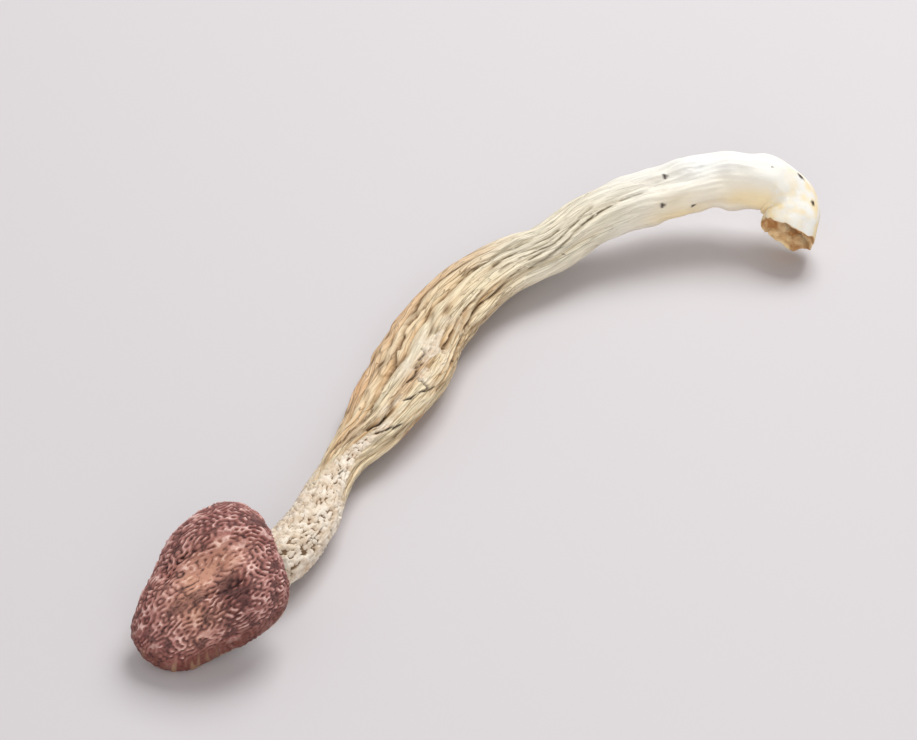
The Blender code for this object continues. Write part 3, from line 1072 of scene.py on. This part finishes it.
@dataclass
class Stem:
    """The stem: a flattened, twisted, furrowed stalk from the neck under the cap to the cut foot.

    Args:
        cap: The cap that it carries.
        stations: Cross-sections from under the cap to the hook.
        cut_profile: Share of the size, and lift, from the edge of the cut to its middle.
        round_radius: Radius of the even round stem on which noise is read.
        grooves: Long single grooves, whose points are a share of the length and an angle.
        cracks: Short deep cracks, given in the same way.
        line_radius: Radius that turns the angles of both into millimetres.
        line_facing: Angle from which they are counted.
        specks: Dark specks, each with its share of the length, its angle and its size.
        speck_length: Length that turns the shares of specks into millimetres.
    """

    cap: Cap
    stations: tuple = (
        Station(-51.3, -7.9, 4.2, 6.8, 6.4, 4),
        Station(-43.1, -8.7, 3.8, 7.0, 6.4, 8),
        Station(-34.9, -6.7, 3.5, 6.8, 6.0, 12),
        Station(-23.0, -1.1, 3.0, 5.4, 5.2, 18),
        Station(-14.0, 1.0, 3.2, 9.0, 5.8, 22),
        Station(-3.0, 5.0, 3.1, 12.4, 6.6, 26),
        Station(7.7, 9.5, 3.1, 11.8, 6.8, 30),
        Station(17.3, 11.9, 3.3, 11.6, 6.8, 34),
        Station(25.1, 11.6, 4.2, 10.4, 6.8, 38),
        Station(31.6, 9.2, 5.2, 8.4, 6.8, 42),
        Station(38.9, 8.4, 6.4, 8.6, 7.2, 46),
        Station(44.6, 6.6, 7.4, 8.2, 7.4, 50),
        Station(50.0, 4.3, 8.0, 8.2, 7.4, 54),
        Station(54.6, 1.9, 8.6, 8.6, 7.6, 57),
        Station(58.7, -0.9, 8.9, 8.5, 7.8, 59),
    )
    neck_width: float = 6.4
    neck_drop: float = 2.5
    hook_start: Vector = Vector((61.8, -5.2, 8.9))
    hook_ahead: Vector = Vector((0.66, -0.74, -0.11)).normalized()
    hook_end_ahead: Vector = Vector((-0.82, -0.23, -0.53)).normalized()
    hook_radius: float = 4.8
    hook_steps: int = 4
    hook_width: float = 8.2
    hook_thickness: float = 7.8
    hook_twist: float = 61.0
    columns: int = 200
    rows: int = 480
    neck_end_rows: int = 3
    foot_end_rows: int = 24
    cut_profile: tuple = (
        (1.00, 0.90),
        (0.97, 1.10),
        (0.91, 0.85),
        (0.84, 0.35),
        (0.74, 0.15),
        (0.50, 0.10),
        (0.25, 0.20),
        (0.00, 0.20),
    )
    foot_slant: float = 0.2
    foot_raggedness: float = 0.5
    fissure: Stroke = Stroke(((-2.6, 2.2), (-0.6, 0.4), (1.2, -0.4), (2.8, -2.0)), 1.0, 0.55)
    lump_height: float = 0.25
    furrow_width: float = 13.0
    furrow_line: float = 3.0
    furrows: tuple = (
        Furrow(60, 1.0, 0.30, 0.74),
        Furrow(168, 0.8, 0.28, 0.66),
        Furrow(108, 0.5, 0.08, 0.50),
        Furrow(132, 0.8, 0.46, 0.80),
        Furrow(84, 0.5, 0.42, 0.90),
        Furrow(24, 0.7, 0.18, 0.86),
        Furrow(204, 0.6, 0.10, 0.92),
        Furrow(240, 0.9, 0.16, 0.80),
        Furrow(276, 0.6, 0.30, 0.90),
        Furrow(312, 0.9, 0.12, 0.84),
        Furrow(348, 0.5, 0.36, 0.94),
    )
    furrow_fade: float = 0.12
    crumbs_end: float = 0.30
    crumb_size: float = 0.86
    crumb_height: float = 0.40
    fibre_sheet: tuple = (28.0, 168.0, 320, 512)
    fibre_spacing: float = 0.80
    fibre_stretch: float = 6.0
    fibre_height: float = 0.32
    round_radius: float = 4.2
    line_radius: float = 4.6
    line_facing: float = 105.0
    grooves: tuple = (
        Stroke(((0.655, 130), (0.687, 113), (0.710, 102), (0.735, 95), (0.765, 90)), 0.60, 0.26),
        Stroke(((0.760, 90), (0.785, 86), (0.800, 84)), 0.30, 0.20),
        Stroke(((0.655, 110), (0.690, 96), (0.720, 82), (0.745, 72)), 0.40, 0.20),
        Stroke(((0.615, 82), (0.665, 78), (0.700, 74)), 0.35, 0.22),
        Stroke(((0.610, 100), (0.660, 98), (0.690, 95)), 0.35, 0.22),
        Stroke(((0.620, 120), (0.665, 118), (0.690, 112)), 0.30, 0.22),
        Stroke(((0.600, 62), (0.650, 60), (0.680, 55)), 0.30, 0.22),
        Stroke(((0.340, 100), (0.376, 97), (0.421, 95), (0.460, 97), (0.540, 97)), 0.20, 0.30),
        Stroke(((0.340, 68), (0.384, 60), (0.414, 54), (0.459, 47), (0.495, 42), (0.530, 45)), 0.60, 0.20),
        Stroke(((0.440, 140), (0.500, 138), (0.560, 128)), 0.35, 0.22),
        Stroke(((0.450, 116), (0.510, 112), (0.570, 108)), 0.40, 0.22),
        Stroke(((0.400, 150), (0.450, 152), (0.520, 150)), 0.30, 0.22),
        Stroke(((0.270, 60), (0.300, 66), (0.345, 76)), 0.40, 0.24),
        Stroke(((0.265, 78), (0.295, 84), (0.330, 90)), 0.35, 0.22),
        Stroke(((0.820, 70), (0.850, 62), (0.870, 60)), 0.25, 0.40),
    )
    cracks: tuple = (
        Stroke(((0.366, 112), (0.372, 120), (0.384, 123), (0.391, 131), (0.397, 122)), 0.6, 0.16),
        Stroke(((0.397, 122), (0.399, 111)), 0.5, 0.16),
        Stroke(((0.391, 131), (0.401, 136)), 0.4, 0.14),
        Stroke(((0.315, 99), (0.326, 104), (0.338, 106)), 0.7, 0.20),
        Stroke(((0.315, 118), (0.322, 128), (0.330, 132)), 0.5, 0.18),
        Stroke(((0.330, 138), (0.338, 140)), 0.5, 0.16),
        Stroke(((0.392, 94), (0.404, 99), (0.412, 96)), 0.4, 0.14),
        Stroke(((0.414, 92), (0.424, 97)), 0.4, 0.14),
        Stroke(((0.428, 88), (0.440, 92), (0.446, 86)), 0.4, 0.14),
        Stroke(((0.236, 118), (0.246, 122)), 0.4, 0.16),
        Stroke(((0.350, 250), (0.390, 256), (0.420, 250)), 0.6, 0.20),
        Stroke(((0.480, 330), (0.520, 334)), 0.5, 0.20),
    )
    specks: tuple = (
        (0.817, 123.0, 0.55),
        (0.962, 33.0, 0.60),
        (0.982, 39.0, 0.45),
        (0.832, 60.0, 0.40),
        (0.854, 147.0, 0.35),
    )
    speck_length: float = 158.0

    def curve(self) -> tuple[Array, Array]:
        """Sample the stem's middle line and sizes.

        Returns:
            The samples, and how far along the stem each one is, in millimetres.
        """
        seat = self.cap.centre + self.cap.axis * (self.cap.seat_height - GAP)
        below = seat - self.cap.axis * self.neck_drop
        stations = [Station(*middle, self.neck_width, self.neck_width, 0.0) for middle in (seat, below)]
        stations += list(self.stations) + self.hook()
        values = np.array(stations, dtype=float)
        samples = read_curve(values, np.linspace(0.0, len(values) - 1.0, 800))
        return samples, running_sum(np.linalg.norm(np.diff(samples[:, :3], axis=0), axis=1))

    def hook(self) -> list[Station]:
        """Bend the hook along an arc.

        Returns:
            Its stations, from its start to the cut.
        """
        swing = self.hook_ahead.angle(self.hook_end_ahead)
        leaning = self.hook_end_ahead - self.hook_ahead * self.hook_end_ahead.dot(self.hook_ahead)
        stations = []
        for step in range(self.hook_steps + 1):
            angle = swing * step / self.hook_steps
            along = self.hook_ahead * math.sin(angle) + leaning.normalized() * (1.0 - math.cos(angle))
            middle = self.hook_start + self.hook_radius * along
            stations.append(Station(*middle, self.hook_width, self.hook_thickness, self.hook_twist))
        return stations

    def row_shares(self, count: int) -> Array:
        """Share rings out along the stem, closer together in the crumbly part and the hook.

        Args:
            count: Number of rings.

        Returns:
            How far along the stem each one is.
        """
        shares = np.linspace(0.0, 1.0, 500)
        density = 1.0 + 0.6 * smooth_step(0.54, 0.44, shares) + 0.8 * smooth_step(0.88, 0.93, shares)
        total = running_sum(density[1:])
        return np.interp(np.linspace(0.0, 1.0, count), total / total[-1], shares)

    def rings(self, shares: Array) -> Rings:
        """Walk along the stem and give its rings.

        Args:
            shares: How far along the stem each ring is, from 0 to 1.

        Returns:
            The rings.
        """
        samples, walked = self.curve()

        def read(along: Array) -> Array:
            """Read the samples at places along the stem."""
            return np.stack([np.interp(along, walked, column) for column in samples.T], axis=1)

        along = shares * walked[-1]
        values = read(along)
        ahead = (read(along + 0.5) - read(along - 0.5))[:, :3]
        ahead /= np.linalg.norm(ahead, axis=1)[:, None]
        ahead[0] = -np.array(self.cap.axis)
        side = np.empty_like(ahead)
        last = np.cross((0.0, 0.0, 1.0), ahead[0])
        for number, way in enumerate(ahead):
            last = last - way * (last @ way)
            last = last / np.linalg.norm(last)
            side[number] = last
        above = np.cross(ahead, side)
        twist = np.radians(values[:, 5])
        return Rings(values[:, :3], ahead, side, above, values[:, 3], values[:, 4], twist)

    def furrow_marks(self, spots: Spots) -> tuple[Array, Array]:
        """Give how deep the furrows are, and where their sharp bottoms run.

        Args:
            spots: Places on the skin.

        Returns:
            The depth in millimetres, and the bottoms from 0 to 1.
        """
        none = np.zeros_like(spots.share)
        depth, bottom = none, none
        for furrow in self.furrows:
            places = np.stack([spots.share * 26.0, none + furrow.turn, none], axis=1)
            miss = turn_gap(spots.degrees, furrow.turn + 7.0 * noise_at(places, 1.0))
            fade = spots.rise(furrow.start, furrow.start + self.furrow_fade)
            fade *= spots.rise(furrow.end, furrow.end - self.furrow_fade)
            line = fade * bell(miss, self.furrow_line)
            depth = depth + furrow.depth * (0.75 * fade * bell(miss, self.furrow_width) + 0.45 * line)
            bottom = np.maximum(bottom, line * min(furrow.depth, 1.0))
        return depth, bottom

    def build(self) -> bpy.types.Object:
        """Build the stem.

        Returns:
            The piece.
        """
        shape = bmesh.new()
        bmesh.ops.create_uvsphere(shape, u_segments=self.columns, v_segments=self.rows, radius=1.0)
        ball = shape_points(shape)
        turn = np.arctan2(ball[:, 1], ball[:, 0])
        row = np.round(np.arccos(np.clip(ball[:, 2], -1.0, 1.0)) * self.rows / math.pi).astype(int)
        length_rows = self.rows - self.neck_end_rows - self.foot_end_rows
        number = np.clip(row - self.neck_end_rows, 0, length_rows)
        shares = self.row_shares(length_rows + 1)
        rings = Rings(*(values[number] for values in self.rings(shares)))
        face = np.clip((row - self.neck_end_rows - length_rows) / self.foot_end_rows, 0.0, 1.0)
        cut = read_curve(np.array(self.cut_profile), face * (len(self.cut_profile) - 1.0))
        size = np.clip(row / self.neck_end_rows, 0.0, 1.0) * np.maximum(cut[:, 0], 0.0)
        points, marks = self.skin(rings, shares[number], turn, size)
        points = self.cut_foot(points, rings, face, cut[:, 1], marks)
        return finish_shape("stem_skin", shape, points, marks)

    def skin(self, rings: Rings, share: Array, turn: Array, size: Array) -> tuple[Array, dict]:
        """Place points on rings of the stem, with the furrows, fibres and crumbs of its skin.

        Args:
            rings: The ring of each point.
            share: How far along the stem it is.
            turn: Its angle round the ring.
            size: Its share of the ring's size, less than 1 on the ends.

        Returns:
            The points, and the marks for the finish.
        """
        across = np.cos(turn + rings.twist) * 0.5 * rings.width
        upward = np.sin(turn + rings.twist) * 0.5 * rings.thickness
        reach = np.hypot(across, upward)
        length = self.curve()[1][-1]
        along = share * length
        radius = self.round_radius
        round_place = np.stack([np.cos(turn) * radius, np.sin(turn) * radius, along], axis=1)
        spots = Spots(share, np.degrees(turn), round_place, length)
        crumbly = self.crumbliness(spots)
        fibrous = (1.0 - crumbly) * spots.rise(0.97, 0.80)
        depth, bottom = self.furrow_marks(spots)
        fibre = self.fibre_heights(spots)
        calm = spots.rise(0.60, 0.68) * spots.facing(140.0, 34.0)
        folds = np.abs(spots.noise(0.16, 1.9, 31.0))
        plate, crumb = self.crumbs(np.stack([across, upward, along], axis=1))
        lump = noise_at(np.stack([across, upward, share * 44.0], axis=1), 2.0)
        facets = spots.rise(0.74, 0.84) * spots.noise(0.8, 2.6, 71.0)
        groove, groove_depth = self.lines(spots, self.grooves)
        crack, crack_depth = self.lines(spots, self.cracks)
        change = self.lump_height * (lump + 2.4 * facets) - depth * (1.0 - 0.35 * crumbly)
        change += crumbly * self.crumb_height * (crumb - 0.85)
        fine = self.fibre_height * (fibre - 0.6) + 0.5 * (folds - 0.2)
        change += fibrous * (1.0 - 0.75 * calm) * fine - groove_depth - crack_depth
        scale = size * (reach + change * smooth_step(0.0, 0.9, size)) / reach
        points = rings.middle + rings.side * (across * scale)[:, None]
        points += rings.above * (upward * scale)[:, None]
        shown = np.clip(0.25 + 0.6 * fibre + 0.9 * (folds - 0.1) + 0.6 * calm, 0.0, 1.0)
        left_fold = spots.facing(28.0, 36.0) * spots.rise(0.30, 0.38) * spots.rise(0.66, 0.56)
        shown = shown - 0.6 * left_fold * bell(folds, 0.06)
        shown = np.clip(shown - 0.75 * bottom - 0.65 * groove, 0.0, 1.0)
        shown = shown * fibrous + (1.0 - fibrous) * np.clip(1.0 - bottom, 0.0, 1.0)
        marks = self.colour_marks(spots, crumbly)
        # The ridge mark also sets how much painted shade the finish lays in the furrows and between the
        # crumbs.
        marks["ridge"] = crumbly * plate + (1.0 - crumbly) * shown
        marks["groove"] = np.clip(groove * (0.9 - 0.2 * marks["pale"]), 0.0, 1.0)
        marks["crack"] = np.clip(crack * 1.1, 0.0, 1.0)
        marks["fibre"] = round_place * (1.0, 1.0, 0.05)
        return points, marks

    def crumbs(self, places: Array) -> tuple[Array, Array]:
        """Break the skin into crumbs.

        Args:
            places: Places on the skin.

        Returns:
            How light each place is, from 0 in the pits to 1, and how high it stands.
        """
        flake, own = cells_at(places, self.crumb_size)
        pits = 0.6 * noise_at(places, 0.75, 3.0) + 0.7 * noise_at(places, 0.36, 9.0)
        plate = smooth_step(0.02, 0.36, flake + 0.9 * pits)
        return np.clip(plate * (0.55 + 0.9 * own), 0.0, 1.0), plate * (0.7 + 0.8 * own)

    def crumbliness(self, spots: Spots) -> Array:
        """Give how crumbly the skin is: near the cap, in a tongue beyond, and in patches ahead.

        Args:
            spots: Places on the skin.

        Returns:
            Values from 0 to 1.
        """
        end = self.crumbs_end - 0.05 * spots.facing(62.0, 36.0)
        end += 0.06 * spots.facing(118.0, 17.0) - 0.07 * spots.facing(168.0, 26.0)
        near_cap = smooth_step(end, end - 0.05, spots.share + 0.03 * spots.noise(0.5, 2.0, 12.0))
        middle = spots.facing(98.0, 26.0) * spots.beside(0.42, 0.085)
        patches = smooth_step(-0.05, 0.15, spots.noise(0.45, 1.5, 61.0))
        bare = spots.facing(95.0, 12.0) * spots.beside(0.395, 0.03)
        return np.maximum(near_cap, 0.85 * middle * patches * (1.0 - bare))

    def fibre_heights(self, spots: Spots) -> Array:
        """Read the long fibres, which wrinkle up side by side as the stem dries.

        Args:
            spots: Places on the skin.

        Returns:
            Heights from 0 to 1.
        """
        size = self.fibre_sheet
        sheet = WrinkleSheet(
            *size, self.fibre_spacing, self.fibre_stretch, lean=0.2, roughness=0.2, seed=23
        )
        wander = 0.9 * spots.noise(1.0, 8.0, 17.0)
        drawn_out = spots.share - 0.55 * np.maximum(spots.share - 0.56, 0.0)
        return sheet.read(spots.degrees / FULL_TURN * size[0] + wander, drawn_out * spots.length)

    def lines(self, spots: Spots, strokes: tuple) -> tuple[Array, Array]:
        """Draw the single grooves or cracks that the stem has.

        Args:
            spots: Places on the skin.
            strokes: The lines, by share of the stem and angle.

        Returns:
            Marks from 0 to 1, and depths in millimetres.
        """
        along = spots.share * spots.length
        around = np.radians(turn_gap(spots.degrees, self.line_facing)) * self.line_radius
        places = np.stack([along, around, along * 0.0], axis=1)
        around = around + 0.30 * noise_at(places, 1.6, 40.0)
        uneven = smooth_step(-0.7, -0.15, noise_at(places, 0.6, 50.0))
        mark = np.zeros_like(along)
        depth = np.zeros_like(along)
        for stroke in strokes:
            run = [
                (share * spots.length, math.radians(turn_gap(turn, self.line_facing)) * self.line_radius)
                for share, turn in stroke.points
            ]
            found = uneven * stroke_mark(along, around, stroke._replace(points=tuple(run)))
            mark = np.maximum(mark, found * min(2.0 * stroke.depth, 1.0))
            depth = np.maximum(depth, found * stroke.depth)
        return mark, depth

    def colour_marks(self, spots: Spots, crumbly: Array) -> dict[str, Array]:
        """Give the marks that colour the stem's regions.

        Args:
            spots: Places on the skin.
            crumbly: How crumbly the skin is there.

        Returns:
            The marks by name.
        """
        share = spots.share
        drift = spots.noise(0.25, 2.6, 51.0)
        # Upper-left fold: real tan colour with painted shade on it; the band, the waist and the far side
        # are real orange-brown and pinkish tones.
        fold = spots.facing(18.0, 27.0) * spots.rise(0.28, 0.36) * spots.rise(0.68, 0.58)
        band = spots.facing(96.0, 10.0) * spots.beside(0.40, 0.05)
        waist = spots.facing(70.0, 26.0) * spots.beside(0.30, 0.04)
        whitish = 0.6 * spots.facing(80.0, 14.0) * spots.beside(0.44, 0.06)
        far_side = spots.facing(190.0, 26.0) * spots.rise(0.26, 0.36) * spots.rise(0.70, 0.58)
        side = fold * (0.8 + drift) + 1.1 * band + 0.55 * waist + far_side * (0.45 + drift)
        speck = np.zeros_like(share)
        for spot_share, spot_turn, width in self.specks:
            around = np.radians(turn_gap(spots.degrees, spot_turn)) * self.round_radius
            away = np.hypot((share - spot_share) * self.speck_length, around)
            speck = np.maximum(speck, smooth_step(width, 0.6 * width, away + 0.25 * drift))
        # Painted shade on the foot's underside, then real tan mottling beside the cut.
        below = spots.facing(145.0, 44.0) * spots.rise(0.76, 0.84)
        below += spots.rise(0.93, 0.985) * np.clip(0.4 + 1.6 * spots.noise(1.0, 1.1, 81.0), 0.0, 1.0)
        return {
            "crumbly": crumbly,
            "pale": np.maximum(smooth_step(0.56, 0.68, share + 0.04 * drift) * 0.85, whitish),
            "foot": smooth_step(0.72, 0.86, share + 0.03 * drift),
            "side": np.clip(side, 0.0, 1.0) * (1.0 - 0.6 * crumbly),
            "stain_and_shade": np.clip(below * (0.95 + 0.8 * drift), 0.0, 1.0),
            "speck": speck,
        }

    def cut_foot(self, points: Array, rings: Rings, face: Array, lift: Array, marks: dict) -> Array:
        """Shape the cut face of the foot, which slants and is ragged, with a fissure across it.

        Args:
            points: Points of the stem.
            rings: The ring of each point.
            face: 0 outside the cut, and up to 1 in the middle of its face.
            lift: How far the cut's profile stands ahead of the last ring.
            marks: Marks for the finish, which get the cut's own.

        Returns:
            The points with the cut shaped.
        """
        end = rings.ahead[np.argmax(face)]
        outward = np.array(self.hook_ahead) - end * (np.array(self.hook_ahead) @ end)
        outward /= np.linalg.norm(outward)
        arm = points - rings.middle
        high = arm @ outward
        on_face = (face > 0.0).astype(float)
        ragged = self.foot_raggedness * noise_at(points, 1.7) + 0.22 * noise_at(points, 0.6, 8.0)
        split = stroke_mark(high, arm @ np.cross(end, outward), self.fissure)
        split *= smooth_step(0.1, 0.3, face)
        spongy = smooth_step(0.12, 0.3, face) * 0.3 * noise_at(points, 0.9, 15.0)
        move = self.foot_slant * high + ragged + lift + spongy - self.fissure.depth * split
        marks["cut"] = smooth_step(0.04, 0.16, face)
        marks["crack"] = np.maximum(marks["crack"], 0.6 * split)
        marks["crumbly"] = marks["crumbly"] * (1.0 - on_face)
        return points + end * (on_face * move)[:, None]

    def dress(self, piece: bpy.types.Object, groups: dict) -> None:
        """Give the stem its finish and its place in the frame.

        Args:
            piece: The stem's skin.
            groups: The shared effects.
        """
        StemFinish(new_board(piece, "stem skin", groups)).paint()
        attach(piece, BODY)
        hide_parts("stem")


@dataclass
class Studio:
    """The floor, the lights and the camera.

    Args:
        camera_place: Where the photograph was taken from, in metres.
        camera_right: The photograph's own right, which keeps the picture level as it was.
        target: Point in the middle of the picture, in metres.
        lens: Focal length that frames the mushroom, for a sensor 36 mm wide.
        floor_colour: Colour of the floor.
        lights: Name, place, length of the side in metres and watts of each soft light.
        sky: Colour and strength of the light from all round.
    """

    camera_place: Vector = Vector((-0.371, -0.290, 0.346))
    camera_right: Vector = Vector((0.693, -0.721, 0.0))
    target: Vector = Vector((0.001, -0.001, 0.006))
    lens: float = 172.0
    floor_colour: Colour = (0.62, 0.59, 0.605, 1.0)
    lights: tuple = (
        ("key light", (0.42, 0.14, 0.60), 0.42, 4.3),
        ("fill light", (-0.50, -0.38, 0.22), 0.60, 1.9),
    )
    sky: tuple = ((1.0, 0.985, 0.98, 1.0), 0.45)

    def build(self) -> None:
        """Build everything in the studio."""
        self.lay_floor()
        for name, place, size, power in self.lights:
            self.hang_light(name, Vector(place), size, power)
        self.light_world()
        self.place_camera()
        view = bpy.context.scene.view_settings
        view.view_transform = "Standard"
        view.look = "None"
        view.exposure = 0.0

    def lay_floor(self) -> None:
        """Lay a plain pale floor."""
        shape = bmesh.new()
        bmesh.ops.create_grid(shape, x_segments=1, y_segments=1, size=3.0)
        mesh = bpy.data.meshes.new("floor")
        shape.to_mesh(mesh)
        shape.free()
        floor = bpy.data.objects.new("floor", mesh)
        bpy.context.scene.collection.objects.link(floor)
        sockets = new_board(floor, "floor", {}).tree.nodes["Principled BSDF"].inputs
        sockets["Base Color"].default_value = self.floor_colour
        sockets["Roughness"].default_value = 0.6

    @staticmethod
    def hang_light(name: str, place: Vector, size: float, power: float) -> None:
        """Hang a square soft light that faces the mushroom.

        Args:
            name: Name of the light.
            place: Where it hangs, in metres.
            size: Length of its side, in metres.
            power: Its power in watts.
        """
        light = bpy.data.lights.new(name, "AREA")
        light.size = size
        light.energy = power
        lamp = bpy.data.objects.new(name, light)
        lamp.location = place
        lamp.rotation_euler = (-place).to_track_quat("-Z", "Y").to_euler()
        bpy.context.scene.collection.objects.link(lamp)

    def light_world(self) -> None:
        """Light the scene evenly from all round."""
        world = bpy.data.worlds.new("soft daylight")
        world.use_nodes = True
        sockets = world.node_tree.nodes["Background"].inputs
        sockets["Color"].default_value, sockets["Strength"].default_value = self.sky
        bpy.context.scene.world = world

    def place_camera(self) -> None:
        """Place the camera where the photograph was taken from."""
        data = bpy.data.cameras.new("camera")
        data.lens = self.lens
        data.sensor_width = 36.0
        data.clip_start = 0.01
        data.clip_end = 20.0
        camera = bpy.data.objects.new("camera", data)
        back = (self.camera_place - self.target).normalized()
        camera.matrix_world = frame_at(self.camera_place, back, self.camera_right)
        bpy.context.scene.collection.objects.link(camera)
        bpy.context.scene.camera = camera


def main() -> None:
    """Build and dress every piece of the mushroom, and then the studio."""
    logging.basicConfig(level=logging.INFO, format="%(message)s")
    groups = Effects().groups
    cap = Cap()
    for part in (cap, Gills(cap), Stem(cap)):
        piece = part.build()
        part.dress(piece, groups)
        triangles = sum(len(face.vertices) - 2 for face in piece.data.polygons)
        LOG.info("%s: %d triangles", piece.name, triangles)
    Studio().build()


if __name__ == "__main__":
    main()
